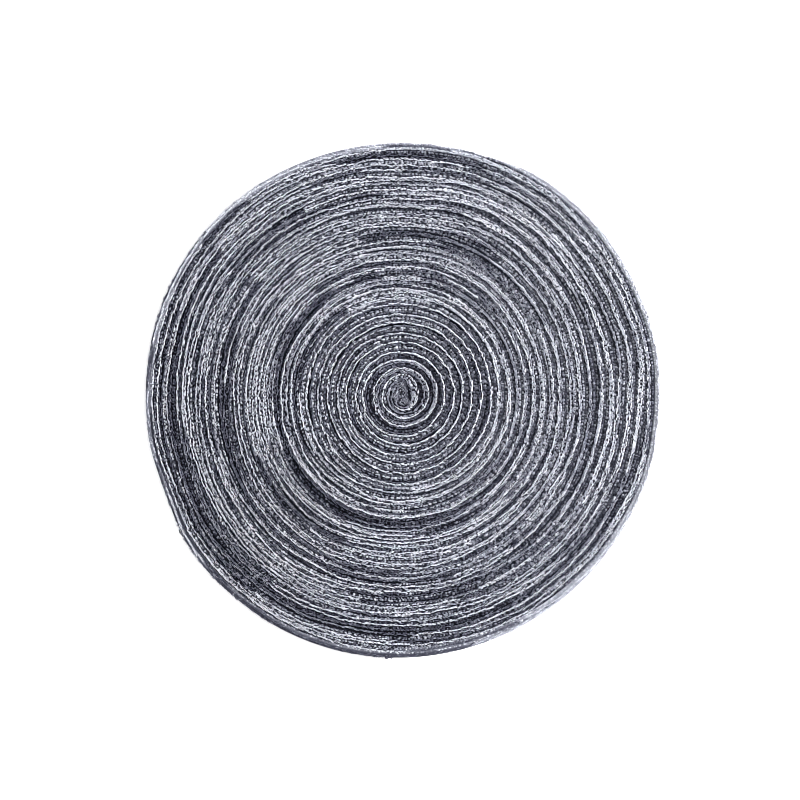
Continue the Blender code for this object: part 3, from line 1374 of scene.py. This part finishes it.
@dataclass
class Studio:
    """A plain pale table, soft light, and a camera straight above."""

    scene: Scene
    table_size: float = 6.0
    table_drop: float = 0.05 * MM
    table_colour: tuple[float, float, float, float] = (0.96, 0.96, 0.97, 1.0)
    table_roughness: float = 0.9
    picture_width: float = PICTURE_PIXELS * MAT_DIAMETER / MAT_PIXELS
    picture_middle: tuple[float, float] = (-2.17 * MM, 0.29 * MM)
    lens: float = 85.0
    sensor: float = 36.0
    filter_width: float = 0.7
    sky_colour: tuple[float, float, float, float] = (1.0, 1.0, 1.0, 1.0)
    sky_strength: float = 1.22
    key_power: float = 60.0
    key_size: float = 0.6
    key_place: tuple[float, float, float] = (1.4, 0.3, 0.9)

    def build_table(self) -> None:
        """Lay the table under the mat."""
        mesh = bmesh.new()
        bmesh.ops.create_grid(mesh, x_segments=1, y_segments=1, size=self.table_size / 2.0)
        bmesh.ops.translate(mesh, verts=mesh.verts, vec=(0.0, 0.0, -self.table_drop))
        data = bpy.data.meshes.new("table_top")
        mesh.to_mesh(data)
        mesh.free()
        material, shader = matt_material("white_table", self.table_roughness)
        shader.inputs["Base Color"].default_value = self.table_colour
        data.materials.append(material)
        table = bpy.data.objects.new("table_top", data)
        self.scene.collection.objects.link(table)

    def build_light(self) -> None:
        """Light the table evenly, with a little more from the right."""
        world = bpy.data.worlds.new("studio")
        world.use_nodes = True
        background = world.node_tree.nodes["Background"]
        background.inputs["Color"].default_value = self.sky_colour
        background.inputs["Strength"].default_value = self.sky_strength
        self.scene.world = world
        lamp = bpy.data.lights.new("key_light", "AREA")
        lamp.shape = "DISK"
        lamp.size = self.key_size
        lamp.energy = self.key_power
        key = bpy.data.objects.new("key_light", lamp)
        key.location = self.key_place
        key.rotation_euler = (-Vector(self.key_place)).to_track_quat("-Z", "Y").to_euler()
        self.scene.collection.objects.link(key)

    def build_camera(self) -> None:
        """Look straight down, with the mat where the photo has it."""
        camera_data = bpy.data.cameras.new("camera")
        camera_data.lens = self.lens
        camera_data.sensor_width = self.sensor
        camera = bpy.data.objects.new("camera", camera_data)
        distance = self.picture_width * self.lens / self.sensor
        camera.location = (*self.picture_middle, distance)
        self.scene.collection.objects.link(camera)
        self.scene.camera = camera
        self.scene.view_settings.view_transform = "Standard"
        self.scene.cycles.filter_width = self.filter_width

    def build(self) -> None:
        """Set up the whole studio."""
        self.build_table()
        self.build_light()
        self.build_camera()


def main() -> None:
    """Build the mat and its studio."""
    logging.basicConfig(level=logging.INFO, format="%(message)s")
    path = TapePath()
    dyed = DyeAndPaintedLight(path)
    colour = YarnColour().group()
    fibre = YarnFibre().group()
    Studio(bpy.context.scene).build()

    ground = TapeBody(path, dyed, YarnFinish("yarn_ground", colour, fibre)).build()
    # The finishes differ only in how much of the painted shade they take.
    chain_finish = YarnFinish("yarn_chain", colour, fibre, shade_share=0.6)
    weft_finish = YarnFinish("yarn_weft", colour, fibre, shade_share=0.92)
    pieces = [
        StartKnot(path, weft_finish).build(),
        *ChainRow(path, dyed, chain_finish, Yarn.INNER_CHAIN, seed=5).build(),
        *ChainRow(path, dyed, chain_finish, Yarn.OUTER_CHAIN, seed=6).build(),
        WeftBars(path, dyed, weft_finish, Yarn.MIDDLE, seed=7).build(),
        WeftLoops(path, dyed, weft_finish, Yarn.INNER_EDGE, seed=8, outward=-1.0).build(),
        WeftLoops(path, dyed, weft_finish, Yarn.OUTER_EDGE, seed=9, outward=1.0).build(),
    ]


if __name__ == "__main__":
    main()
